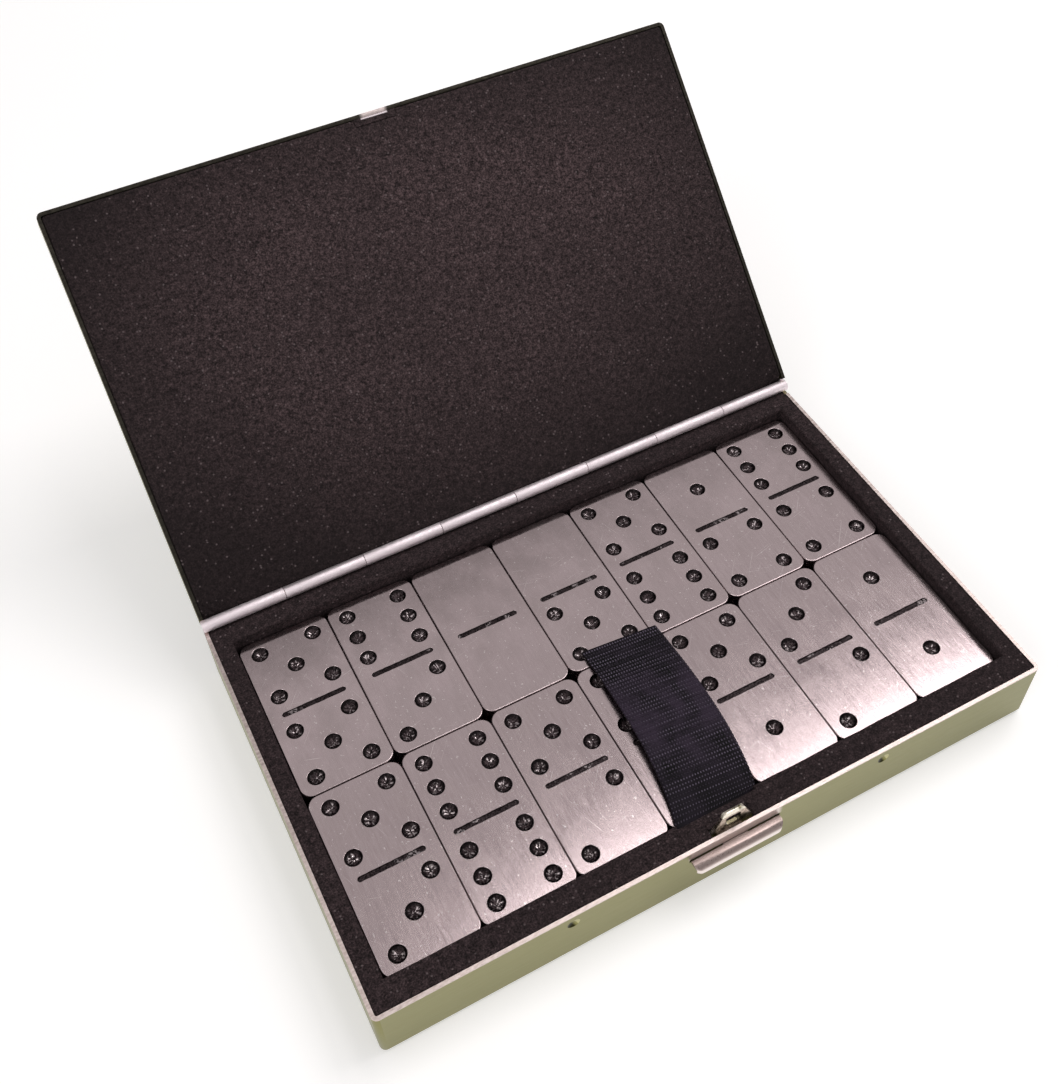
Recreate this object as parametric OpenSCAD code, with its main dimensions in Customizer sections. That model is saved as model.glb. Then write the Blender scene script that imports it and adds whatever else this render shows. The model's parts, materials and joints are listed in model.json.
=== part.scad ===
// Domino storage box: a flat sheet-metal case with a rolled hinge and a push latch,
// lined with foam, holding a full double-six set in two layers under a lifting ribbon.
// Millimetres. The origin is the centre of the base's underside, +Z up, and the latch faces -Y.

/* [Tiles] */
// Width of a tile
tile_w = 24.7; // [20:0.1:30]
// Length of a tile
tile_l = 49.7; // [44:0.1:60]
// Thickness of a tile
tile_t = 6.5; // [4:0.1:10]
// Radius of a tile's upright corners
tile_corner_r = 3; // [1:0.1:5]
// Gap between neighbouring tiles
tile_gap = 0.3; // [0.2:0.05:0.6]
// Gap between the block of tiles and the foam round it
field_gap = 0.3; // [0.2:0.05:1]
// Diameter of a pip
pip_d = 4.4; // [3:0.1:5]
// Depth of a pip's straight wall, above its drilled point
pip_wall = 0.3; // [0.1:0.1:1]
// Point angle of the drill that sinks the pips, in degrees
drill_angle = 118; // [90:1:140]
// Distance of the outer pips from the tile's long centre line
pip_x = 7.45; // [6:0.05:8.5]
// Distance of the outer pips from the middle of their half
pip_y = 7.3; // [6:0.05:8]
// Distance of the middle of each half from the tile's centre
half_y = 13; // [12:0.05:14]
// Length of the groove across a tile's middle
groove_l = 17.3; // [12:0.1:19]
// Width of that groove
groove_w = 1.1; // [0.6:0.1:1.6]
// Depth of that groove
groove_depth = 0.5; // [0.2:0.1:1]

/* [Case] */
// Thickness of the sheet metal
sheet_t = 1; // [0.8:0.1:1.4]
// Outer radius of the case's corners and of its bottom edge
case_r = 1.6; // [1.5:0.1:3]
// Depth of the tile tops below the base's rim
rim_depth = 3.5; // [3.2:0.1:6]
// Depth of the lid, from its rim to its outer face
lid_h = 9.3; // [8.5:0.1:14]
// Gap between the two rims when the box is shut
rim_gap = 0.2; // [0.1:0.05:0.5]

/* [Foam] */
// Width of the foam at either side of the tiles
foam_side = 4.85; // [3:0.05:10]
// Width of the foam in front of the tiles and behind them
foam_end = 6.85; // [6.2:0.05:12]
// Thickness of the pad under the tiles
pad_t = 3; // [2:0.1:6]

/* [Hinge] */
// Number of knuckles along the hinge, shared in turn by base and lid
knuckle_count = 8; // [4:2:12]
// Outer diameter of a knuckle
knuckle_d = 3.4; // [3.2:0.1:3.8]
// Diameter of the hinge pin
pin_d = 1.8; // [1.2:0.1:2]
// Radial clearance of the pin in its knuckles
pin_clearance = 0.05; // [0.02:0.01:0.08]
// Gap between neighbouring knuckles
knuckle_gap = 0.2; // [0.1:0.05:0.5]
// Width of the slit left where a rolled knuckle meets its own wall
roll_slit = 0.3; // [0.2:0.05:0.4]
// Height of the hinge axis above the base's rim
axis_rise = 1.7; // [1.4:0.05:2]
// Distance of the hinge axis inside the case's back face
axis_inset = 0.85; // [0.8:0.01:0.9]
// Angle through which the lid opens, in degrees
open_angle = 135; // [115:1:140]
// Clearance left between the walls that stop the open lid
stop_clearance = 0.04; // [0.02:0.01:0.1]

/* [Latch] */
// Thickness of the latch plate
latch_t = 0.8; // [0.6:0.05:1]
// Travel of the latch when it is pressed in
latch_travel = 1.5; // [1.2:0.1:1.6]
// Distance of the latch's slot below the base's rim
slot_drop = 4; // [3.8:0.1:5]
// Width of the thumb ledge
ledge_w = 25; // [18:0.5:32]
// Radius of the thumb ledge's outer corners
ledge_corner_r = 2; // [0.5:0.1:2]
// Centre-line radius of the curl along the ledge's lip
curl_r = 1.3; // [1:0.1:2]
// Length of the straight lip below the curl
lip_l = 0.9; // [0.3:0.1:1.5]
// Width of the neck that passes through the slot
neck_w = 7; // [5:0.1:9]
// Clearance of the neck and ledge in the slot
slot_clearance = 0.3; // [0.2:0.05:0.5]
// Width of the hook at the rim
hook_w = 11.4; // [10:0.1:14]
// Width of the hook at its top
hook_top_w = 7; // [6:0.1:9]
// Height of the hook above the base's rim
hook_h = 6.2; // [5.5:0.1:7]
// Lean of the hook's top edge away from the lid's front wall, in degrees
hook_lean = 22; // [10:1:25]
// Width of the hook's window
window_w = 4.2; // [3.6:0.1:5]
// Height of the hook's window
window_h = 3.7; // [3:0.1:4]
// Height of the window's lower edge above the base's rim
window_rise = 0.8; // [0.5:0.1:1]
// Corner radius of the window
window_r = 0.8; // [0.4:0.1:1.2]
// Gap between the hook and the catch's plate
hook_gap = 0.3; // [0.2:0.05:0.5]
// Thickness of the leaf spring
spring_t = 0.4; // [0.2:0.05:0.5]
// Height of the leaf spring
spring_h = 5; // [4.4:0.1:6]
// Distance from the latch to each stake that holds the spring
stake_x = 44; // [35:0.5:60]
// Diameter of the dimple pressed in at each stake
dimple_d = 3.4; // [2.5:0.1:4]
// Depth of that dimple
dimple_depth = 0.5; // [0.3:0.05:0.7]
// Diameter of the stake behind the dimple
stake_d = 3; // [2:0.1:3.4]

/* [Catch] */
// Width of the catch's plate
catch_w = 8; // [6:0.1:10]
// Thickness of the catch's plate
catch_t = 0.6; // [0.4:0.05:0.8]
// Height of the catch's plate
catch_h = 5; // [4.6:0.1:6]
// Width of the catch's tooth
tooth_w = 3; // [2:0.1:3]
// Thickness of the catch's tooth
tooth_t = 0.9; // [0.6:0.1:1.2]
// Reach of the tooth past the front of the hook
tooth_reach = 1; // [0.5:0.1:1]
// Gap between the tooth and the window's upper edge when the box is shut
tooth_gap = 0.5; // [0.3:0.05:0.8]

/* [Ribbon] */
// Width of the ribbon
ribbon_w = 21; // [12:0.5:23]
// Thickness of the ribbon
ribbon_t = 0.5; // [0.3:0.05:0.6]
// Distance of the ribbon's middle to the right of the box's middle
ribbon_x = -1; // [-1.5:0.1:0.5]
// Length of the ribbon's loose flap
flap_l = 53.5; // [30:0.5:60]
// Rise of the flap's arch
flap_arch = 2; // [0.5:0.1:2.2]
// Angle that the flap lies off square, in degrees
flap_turn = -4.8; // [-6:0.1:0]
// Gap under and around the ribbon
ribbon_gap = 0.3; // [0.2:0.05:0.4]
// Length of the ribbon's run under the tiles
run_l = 48; // [20:1:60]

/* [Hidden] */
$fn = 48;
// How far a cutter runs past the surface that it opens
cut = 1;

// Pip values of the tiles as [half nearer the hinge, half nearer the latch], one row a line
// from left to right: upper layer back and front, then lower layer back and front
TILES = [
    [[5, 5], [6, 3], [0, 0], [0, 5], [5, 6], [1, 4], [6, 4]],
    [[5, 3], [6, 6], [5, 2], [4, 2], [5, 1], [3, 2], [1, 1]],
    [[0, 1], [2, 6], [3, 3], [1, 6], [4, 4], [0, 4], [2, 2]],
    [[1, 3], [0, 6], [2, 1], [0, 2], [3, 4], [0, 3], [4, 5]]
];
columns = len(TILES[0]);
rows = 2;
layers = len(TILES) / rows;

// The block of tiles, and the case built up round it
pitch_x = tile_w + tile_gap;
pitch_y = tile_l + tile_gap;
recess_w = columns * pitch_x - tile_gap + 2 * field_gap;
recess_l = rows * pitch_y - tile_gap + 2 * field_gap;
inner_w = recess_w + 2 * foam_side;
inner_l = recess_l + 2 * foam_end;
case_w = inner_w + 2 * sheet_t;
case_l = inner_l + 2 * sheet_t;
pad_top = sheet_t + pad_t;
tile_top = pad_top + layers * tile_t;
base_h = tile_top + rim_depth;
lid_rim = base_h + rim_gap;
lid_top = lid_rim + lid_h;
inner_r = case_r - sheet_t;
foam_r = inner_r + 0.5;

// The hinge: both back walls are relieved round its axis, so that they meet at the open angle
axis_y = case_l / 2 - axis_inset;
axis_z = base_h + axis_rise;
bore_d = pin_d + 2 * pin_clearance;
knuckle_pitch = case_w / knuckle_count;
relief = (axis_inset * (1 - cos(open_angle)) + stop_clearance) / sin(open_angle);
groove_d = 2 * max(relief, knuckle_d / 2) + 0.5;

// The latch, from the front wall inwards: catch, gap, hook, leaf spring, room for the travel
wall_y = -inner_l / 2;
hook_front = wall_y + catch_t + hook_gap;
hook_mid = hook_front + latch_t / 2;
hook_back = hook_front + latch_t;
pocket_y = hook_back + spring_t + latch_travel + 0.3;
pocket_w = hook_w + 1.6;
slot_z = base_h - slot_drop;
slot_w = ledge_w + 2 * slot_clearance;
slot_h = latch_t + 2 * slot_clearance;
ledge_y = -case_l / 2 - slot_clearance;
curl_y = -case_l / 2 - latch_travel;
lip_y = curl_y - curl_r;
bend_r = latch_t;
bend_y = hook_mid - bend_r;
bend_z = slot_z + bend_r;
shoulder_z = bend_z + 0.3;
hook_top = base_h + hook_h;
hook_corner_r = 1.8;
lean_l = 1;
window_bottom = base_h + window_rise;
window_top = window_bottom + window_h;
spring_foot = 4;
spring_room = 0.3;
dimple_r = (pow(dimple_d / 2, 2) + pow(dimple_depth, 2)) / (2 * dimple_depth);

// The ribbon comes up in a slot between the front tiles and the foam in front of them
slot_back = -recess_l / 2 - (2 * ribbon_gap + ribbon_t - field_gap + 0.1);
riser_y = slot_back + ribbon_gap;
ribbon_room = ribbon_w + 2 * ribbon_gap + 0.4;
run_z = pad_top - ribbon_t - 0.05;
flap_y = -recess_l / 2 + 0.9;
flap_z = tile_top + ribbon_gap;
arch_r = pow(flap_l, 2) / (8 * flap_arch) + flap_arch / 2;

METAL = [0.76, 0.77, 0.74];
NICKEL = [0.83, 0.81, 0.77];
STEEL = [0.62, 0.59, 0.59];
FOAM = [0.13, 0.11, 0.12];
RIBBON = [0.09, 0.09, 0.14];

function tile_name(values) = str("tile_", values[0], "_", values[1]);

// A rectangle with rounded corners, centred
module round_rect(w, l, r) {
    square([w - 2 * r, l], center = true);
    square([w, l - 2 * r], center = true);
    for (x = [-1, 1], y = [-1, 1])
        translate([x * (w / 2 - r), y * (l / 2 - r)]) circle(r);
}

// Extrudes a side view, drawn as [y, z], along X and centres it
module along_x(w) {
    rotate([90, 0, 90]) linear_extrude(w, center = true) children();
}

// Extrudes a front view, drawn as [x, z], along Y from y0 to y1
module along_y(y0, y1) {
    translate([0, y1, 0]) rotate([90, 0, 0]) linear_extrude(y1 - y0) children();
}

// A quarter of a ring on centre-line radius r, in the quadrant that sx and sy point to
module quarter_ring(r, t, sx, sy) {
    side = r + t;
    intersection() {
        difference() {
            circle(r + t / 2);
            circle(r - t / 2);
        }
        translate([sx < 0 ? -side : 0, sy < 0 ? -side : 0]) square(side);
    }
}

// A sheet-metal wall in section, from the floor's edge at x = 0 to its outer face at case_r
module wall_section(h) {
    translate([inner_r, case_r]) square([sheet_t, h - case_r]);
    translate([0, case_r]) quarter_ring(case_r - sheet_t / 2, sheet_t, 1, -1);
}

// An open pan with rounded corners and a rounded bottom edge, standing on z = 0
module pan(h) {
    flat_w = case_w - 2 * case_r;
    flat_l = case_l - 2 * case_r;
    translate([-flat_w / 2, -flat_l / 2, 0]) cube([flat_w, flat_l, sheet_t]);
    for (turn = [0, 180]) rotate([0, 0, turn]) {
        translate([flat_w / 2, flat_l / 2, 0]) rotate([90, 0, 0])
            linear_extrude(flat_l) wall_section(h);
        translate([-flat_w / 2, flat_l / 2, 0]) rotate([90, 0, 90])
            linear_extrude(flat_w) wall_section(h);
        translate([flat_w / 2, flat_l / 2, 0])
            rotate_extrude(angle = 90) wall_section(h);
        translate([-flat_w / 2, flat_l / 2, 0]) rotate([0, 0, 90])
            rotate_extrude(angle = 90) wall_section(h);
    }
}

// Carries a part drawn with the box shut to where it is with the lid open
module opened() {
    translate([0, axis_y, axis_z]) rotate([-open_angle, 0, 0])
        translate([0, -axis_y, -axis_z]) children();
}

// Repeats a child at the left end of each knuckle of one leaf, 0 for the base and 1 for the lid
module each_knuckle(leaf) {
    for (i = [leaf : 2 : knuckle_count - 1])
        translate([i * knuckle_pitch - case_w / 2, 0, 0]) children();
}

// A bar of diameter d on the hinge axis, from x0 over length l
module on_axis(d, x0, l) {
    translate([x0, axis_y, axis_z]) rotate([0, 90, 0]) cylinder(d = d, h = l);
}

// The notches in one leaf's back wall, where the other leaf's knuckles turn
module knuckle_room(leaf) {
    each_knuckle(leaf) translate([-knuckle_gap / 2, axis_y - relief, axis_z - relief])
        cube([knuckle_pitch + knuckle_gap, 2 * relief + cut, 2 * relief]);
}

// One leaf of the hinge: a pan whose back wall is notched, and rolled into knuckles between
module rolled_leaf(leaf) {
    length = knuckle_pitch - knuckle_gap;
    back_wall = case_l / 2 - sheet_t;
    slit_z = leaf == 0 ? axis_z - knuckle_d / 2 - cut : axis_z;
    difference() {
        union() {
            difference() {
                children();
                knuckle_room(1 - leaf);
            }
            each_knuckle(leaf) on_axis(knuckle_d, knuckle_gap / 2, length);
            if (leaf == 0)
                each_knuckle(leaf) translate([knuckle_gap / 2, back_wall, base_h - sheet_t])
                    cube([length, sheet_t, axis_rise + sheet_t]);
        }
        each_knuckle(leaf) on_axis(bore_d, -cut, knuckle_pitch + 2 * cut);
        each_knuckle(leaf) translate([0, back_wall - roll_slit, slit_z])
            cube([knuckle_pitch, roll_slit, knuckle_d / 2 + cut]);
    }
}

module base_shell() color(METAL) {
    difference() {
        rolled_leaf(0) pan(base_h);
        along_y(-case_l / 2 - cut, wall_y + cut) translate([0, slot_z])
            square([slot_w, slot_h], center = true);
        for (side = [-1, 1])
            translate([side * stake_x, dimple_depth - case_l / 2 - dimple_r, slot_z])
                sphere(dimple_r);
    }
    for (side = [-1, 1])
        along_y(wall_y, wall_y + spring_t) translate([side * stake_x, slot_z]) circle(d = stake_d);
}

module lid_shell() color(METAL) opened() rolled_leaf(1) difference() {
    translate([0, 0, lid_top]) rotate([180, 0, 0]) pan(lid_h);
    translate([-case_w / 2 - cut, axis_y - relief, lid_rim - cut])
        cube([case_w + 2 * cut, relief + axis_inset + cut, axis_z - lid_rim + cut]);
}

module hinge_pin() color(NICKEL) on_axis(pin_d, 0.2 - case_w / 2, case_w - 0.4);

// The catch inside the lid's front wall: a plate with a tooth that the hook's window takes
module lid_catch() color(NICKEL) opened() {
    tooth_top = window_top - tooth_gap;
    translate([-catch_w / 2, wall_y, lid_rim + 0.3]) cube([catch_w, catch_t, catch_h]);
    translate([-tooth_w / 2, wall_y + catch_t, tooth_top - tooth_t])
        cube([tooth_w, hook_gap + tooth_reach, tooth_t]);
}

// The hook seen from the front, as [x, z]: shoulders, tapering sides and a rounded top
module hook_outline() {
    sides = [
        [neck_w / 2, slot_z - latch_t],
        [neck_w / 2, shoulder_z],
        [hook_w / 2, shoulder_z],
        [hook_w / 2, base_h],
        [hook_top_w / 2, hook_top - hook_corner_r],
        [hook_top_w / 2 - hook_corner_r, hook_top]
    ];
    difference() {
        union() {
            polygon(concat(sides, [for (i = [len(sides) - 1 : -1 : 0]) [-sides[i][0], sides[i][1]]]));
            for (side = [-1, 1])
                translate([side * (hook_top_w / 2 - hook_corner_r), hook_top - hook_corner_r])
                    circle(hook_corner_r);
        }
        translate([0, window_bottom + window_h / 2]) round_rect(window_w, window_h, window_r);
    }
}

// The upright part of the latch plate seen from the side, as [y, z], leaning back at its top
module hook_profile() {
    upright_l = hook_top - lean_l - bend_z;
    translate([bend_y, bend_z]) quarter_ring(bend_r, latch_t, 1, -1);
    translate([hook_front, bend_z]) square([latch_t, upright_l]);
    translate([hook_mid, bend_z + upright_l]) {
        circle(d = latch_t);
        rotate(-hook_lean) translate([-latch_t / 2, 0]) square([latch_t, lean_l]);
    }
}

// The neck and the thumb ledge seen from the side, as [y, z], curled down along the lip
module ledge_profile() {
    translate([curl_y, slot_z - latch_t / 2]) square([bend_y - curl_y, latch_t]);
    translate([curl_y, slot_z - curl_r]) quarter_ring(curl_r, latch_t, -1, 1);
    translate([lip_y - latch_t / 2, slot_z - curl_r - lip_l]) square([latch_t, lip_l]);
}

// The neck and the thumb ledge seen from above, as [x, y]
module ledge_outline() {
    reach = ledge_y - lip_y + latch_t / 2;
    translate([-neck_w / 2, ledge_y]) square([neck_w, bend_y - ledge_y]);
    intersection() {
        translate([0, ledge_y]) round_rect(ledge_w, 2 * reach, ledge_corner_r);
        translate([-ledge_w / 2, ledge_y - reach]) square([ledge_w, reach]);
    }
}

module latch_plate() color(NICKEL) {
    intersection() {
        along_x(hook_w) hook_profile();
        along_y(bend_y, hook_back + 2 * lean_l) hook_outline();
    }
    intersection() {
        along_x(ledge_w) ledge_profile();
        translate([0, 0, slot_z - curl_r - lip_l - cut])
            linear_extrude(curl_r + lip_l + 2 * cut) ledge_outline();
    }
}

// A bowed leaf spring, staked to the front wall at both ends and touching the hook in the middle
module latch_spring() color(STEEL) {
    foot_x = stake_x + spring_foot;
    knee_x = stake_x - spring_foot;
    flat_x = hook_w / 2 + 1.5;
    y0 = wall_y + spring_t / 2;
    y1 = hook_back + spring_t / 2;
    path = [[-foot_x, y0], [-knee_x, y0], [-flat_x, y1], [flat_x, y1], [knee_x, y0], [foot_x, y0]];
    difference() {
        translate([0, 0, slot_z - spring_h / 2]) linear_extrude(spring_h)
            strip(path, spring_t);
        for (side = [-1, 1])
            along_y(wall_y - cut, wall_y + spring_t + cut) translate([side * stake_x, slot_z])
                circle(d = stake_d + 0.2);
    }
}

// A strip of thickness t along a path, with round knees
module strip(path, t) {
    for (i = [1 : len(path) - 1]) {
        run = path[i] - path[i - 1];
        translate(path[i - 1]) rotate(atan2(run[1], run[0]))
            translate([0, -t / 2]) square([norm(run), t]);
    }
    for (i = [1 : len(path) - 2])
        translate(path[i]) circle(d = t);
}

// The pocket in the foam behind the front wall, from z0 to z1, that the hook moves in
module hook_pocket(z0, z1) {
    translate([-pocket_w / 2, wall_y - cut, z0]) cube([pocket_w, pocket_y - wall_y + cut, z1 - z0]);
}

// The foam strip across one end of the recess; side is -1 at the latch and 1 at the hinge
module foam_end_strip(side) {
    from_y = side < 0 ? -inner_l / 2 : recess_l / 2;
    translate([0, 0, pad_top]) linear_extrude(base_h - pad_top) intersection() {
        round_rect(inner_w, inner_l, foam_r);
        translate([-inner_w / 2, from_y]) square([inner_w, foam_end]);
    }
}

module foam_front() color(FOAM) {
    spring_w = 2 * (stake_x + spring_foot + 2);
    spring_z = slot_z - spring_h / 2 - spring_room;
    difference() {
        foam_end_strip(-1);
        translate([ribbon_x - ribbon_room / 2, slot_back, pad_top - cut])
            cube([ribbon_room, foam_end, base_h - pad_top + 2 * cut]);
        translate([-spring_w / 2, wall_y - cut, spring_z])
            cube([spring_w, pocket_y - wall_y + cut, spring_h + 2 * spring_room]);
        hook_pocket(spring_z, base_h + cut);
    }
}

module foam_back() color(FOAM) difference() {
    foam_end_strip(1);
    on_axis(groove_d, -case_w / 2, case_w);
}

// The foam strip beside the tiles; side is -1 at the left and 1 at the right
module foam_side_strip(side) color(FOAM)
    translate([side * (recess_w + foam_side) / 2, 0, pad_top])
        linear_extrude(base_h - pad_top) square([foam_side, recess_l], center = true);

module floor_pad() color(FOAM) {
    pad_w = inner_w - 2 * inner_r;
    pad_l = inner_l - 2 * inner_r;
    difference() {
        translate([0, 0, sheet_t]) linear_extrude(pad_t) round_rect(pad_w, pad_l, foam_r);
        translate([ribbon_x - ribbon_room / 2, slot_back, run_z])
            cube([ribbon_room, run_l + ribbon_gap * 2, pad_t]);
    }
}

module lid_foam() color(FOAM) opened() {
    foam_h = lid_h - sheet_t;
    difference() {
        translate([0, 0, lid_rim]) {
            linear_extrude(foam_h - inner_r) round_rect(inner_w, inner_l, foam_r);
            linear_extrude(foam_h)
                round_rect(inner_w - 2 * inner_r, inner_l - 2 * inner_r, foam_r);
        }
        hook_pocket(lid_rim - cut, hook_top + 0.6);
        on_axis(groove_d, -case_w / 2, case_w);
    }
}

// The ribbon's fixed part: flat under the front tiles, then up beside them
module ribbon_run() color(RIBBON)
    translate([ribbon_x - ribbon_w / 2, riser_y, run_z]) {
        cube([ribbon_w, run_l, ribbon_t]);
        cube([ribbon_w, ribbon_t, tile_top - run_z]);
    }

// The ribbon's loose end, arched over the tiles and lying a little off square
module ribbon_flap() color(RIBBON)
    translate([ribbon_x, flap_y, flap_z]) rotate([0, 0, flap_turn]) along_x(ribbon_w)
        intersection() {
            translate([flap_l / 2, flap_arch - arch_r]) difference() {
                circle(arch_r + ribbon_t, $fn = 720);
                circle(arch_r, $fn = 720);
            }
            translate([0, -ribbon_t]) square([flap_l, flap_arch + 3 * ribbon_t]);
        }

// Where the pips of one half go, in steps of pip_x and pip_y from its middle
function pips(n) = concat(
    n % 2 == 1 ? [[0, 0]] : [],
    n > 1 ? [[1, 1], [-1, -1]] : [],
    n > 3 ? [[-1, 1], [1, -1]] : [],
    n > 5 ? [[-1, 0], [1, 0]] : []
);

// A drilled pip with its mouth at z = 0: a short straight wall above the drill's point
module pip() {
    point_h = pip_d / 2 / tan(drill_angle / 2);
    rotate_extrude() polygon([
        [0, -pip_wall - point_h],
        [pip_d / 2, -pip_wall],
        [pip_d / 2, cut],
        [0, cut]
    ]);
}

// A tile with its values on top, centred on its underside
module tile(values) color(STEEL) difference() {
    linear_extrude(tile_t) round_rect(tile_w, tile_l, tile_corner_r);
    translate([0, 0, tile_t - groove_depth]) linear_extrude(groove_depth + cut) {
        square([groove_l - groove_w, groove_w], center = true);
        for (side = [-1, 1])
            translate([side * (groove_l - groove_w) / 2, 0]) circle(d = groove_w);
    }
    for (half = [0, 1], spot = pips(values[half]))
        translate([spot[0] * pip_x, (1 - 2 * half) * half_y + spot[1] * pip_y, tile_t]) pip();
}

// Row i of TILES: its layer from the top down, and its place from the back to the front
module placed_tile(i, column) {
    layer = floor(i / rows);
    row = i % rows;
    translate([
        (column - (columns - 1) / 2) * pitch_x,
        ((rows - 1) / 2 - row) * pitch_y,
        tile_top - (layer + 1) * tile_t
    ]) tile(TILES[i][column]);
}

base_shell();
lid_shell();
hinge_pin();
lid_catch();
latch_plate();
latch_spring();
foam_front();
foam_back();
foam_side_strip(-1);  // foam_left
foam_side_strip(1);  // foam_right
floor_pad();
lid_foam();
ribbon_run();
ribbon_flap();
for (i = [0 : len(TILES) - 1], column = [0 : columns - 1])
    placed_tile(i, column);
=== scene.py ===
import json
import math
import random

import bmesh
import bpy
from mathutils import Matrix, Vector, noise


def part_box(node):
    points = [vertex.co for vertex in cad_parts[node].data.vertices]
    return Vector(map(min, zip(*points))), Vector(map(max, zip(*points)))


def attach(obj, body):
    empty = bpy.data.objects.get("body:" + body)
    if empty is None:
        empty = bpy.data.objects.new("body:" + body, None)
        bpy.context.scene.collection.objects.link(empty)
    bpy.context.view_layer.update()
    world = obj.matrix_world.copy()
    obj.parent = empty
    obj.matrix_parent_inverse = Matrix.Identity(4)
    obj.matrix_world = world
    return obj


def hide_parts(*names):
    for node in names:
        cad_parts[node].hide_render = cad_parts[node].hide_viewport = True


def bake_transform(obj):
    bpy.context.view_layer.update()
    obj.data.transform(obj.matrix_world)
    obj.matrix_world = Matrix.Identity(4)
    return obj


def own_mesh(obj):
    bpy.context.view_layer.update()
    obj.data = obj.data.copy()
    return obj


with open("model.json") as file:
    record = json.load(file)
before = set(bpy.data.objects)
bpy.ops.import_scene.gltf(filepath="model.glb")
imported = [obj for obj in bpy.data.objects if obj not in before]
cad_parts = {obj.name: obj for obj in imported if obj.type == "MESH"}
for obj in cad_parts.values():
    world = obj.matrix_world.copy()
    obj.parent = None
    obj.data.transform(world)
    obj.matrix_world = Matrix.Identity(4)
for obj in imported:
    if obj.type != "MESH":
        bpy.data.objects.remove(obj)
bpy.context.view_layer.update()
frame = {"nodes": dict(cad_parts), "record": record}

MM = 0.001
NODES = frame["nodes"]
noise.seed_set(1)       # without a seed, its vectors change from run to run

# Sizes and places that several pieces share, in millimetres in the part's own frame
TILE_TOP = 17.0                       # the faces of the upper tiles
BASE_RIM = 20.5                       # the top of the base's walls
LID_RIM = 20.7                        # the edge of the lid's walls when it is shut
AXIS = (57.15, 22.2)                  # the hinge pin's y and z
OPEN_ANGLE = math.radians(135)        # from shut to where the lid rests
INNER = (185.0, 114.0)                # the room between the walls, across and along
RECESS = (175.3, 100.3)               # the hole in the foam that the tiles lie in
POCKET = (5.9, -53.1)                 # the latch's notch in the base's foam: half its width, and its back
LID_SLIT = (6.1, -54.9)               # the same in the lid's foam
RIBBON_SLOT = (-12.0, 10.0, -51.05)   # left, right and front of the ribbon's notch
STAKE = (44.0, 16.5)                  # where each end of the spring is staked: x and z
RIB_PITCH = 1.12                      # from one rib of the ribbon to the next


# ---------------------------------------------------------------- node trees

class Nodes:
    """Short calls for the nodes of one tree, shared by the materials and the world."""

    def __init__(self, tree):
        self.nodes, self.links = tree.nodes, tree.links

    def link(self, source, target):
        self.links.new(source, target)

    def feed(self, socket, value):
        """Links the socket or sets its constant; None leaves it alone."""
        if isinstance(value, bpy.types.NodeSocket):
            self.link(value, socket)
        elif value is not None:
            socket.default_value = value

    def math(self, kind, a, b=0.0, c=None):
        node = self.nodes.new("ShaderNodeMath")
        node.operation = kind
        for socket, value in zip(node.inputs, (a, b, c)):
            self.feed(socket, value)
        return node.outputs[0]

    def plus(self, a, b):
        return self.math("ADD", a, b)

    def minus(self, a, b):
        return self.math("SUBTRACT", a, b)

    def times(self, a, b):
        return self.math("MULTIPLY", a, b)

    def most(self, a, b):
        return self.math("MAXIMUM", a, b)

    def hypot(self, a, b):
        return self.math("SQRT", self.plus(self.times(a, a), self.times(b, b)))

    def span(self, value, low, high, to_low=0.0, to_high=1.0, smooth=False):
        """Runs from to_low to to_high as the value goes from low to high."""
        node = self.nodes.new("ShaderNodeMapRange")
        if smooth:
            node.interpolation_type = "SMOOTHSTEP"
        for socket, number in zip(node.inputs, (value, low, high, to_low, to_high)):
            self.feed(socket, number)
        return node.outputs[0]

    def axes(self, vector):
        node = self.nodes.new("ShaderNodeSeparateXYZ")
        self.link(vector, node.inputs[0])
        return node.outputs

    def vector(self, kind, a, b=None):
        """A vector node's outputs: its vector, and the number that LENGTH gives."""
        node = self.nodes.new("ShaderNodeVectorMath")
        node.operation = kind
        self.feed(node.inputs[0], a)
        self.feed(node.inputs[1], b)
        return node.outputs


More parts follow.
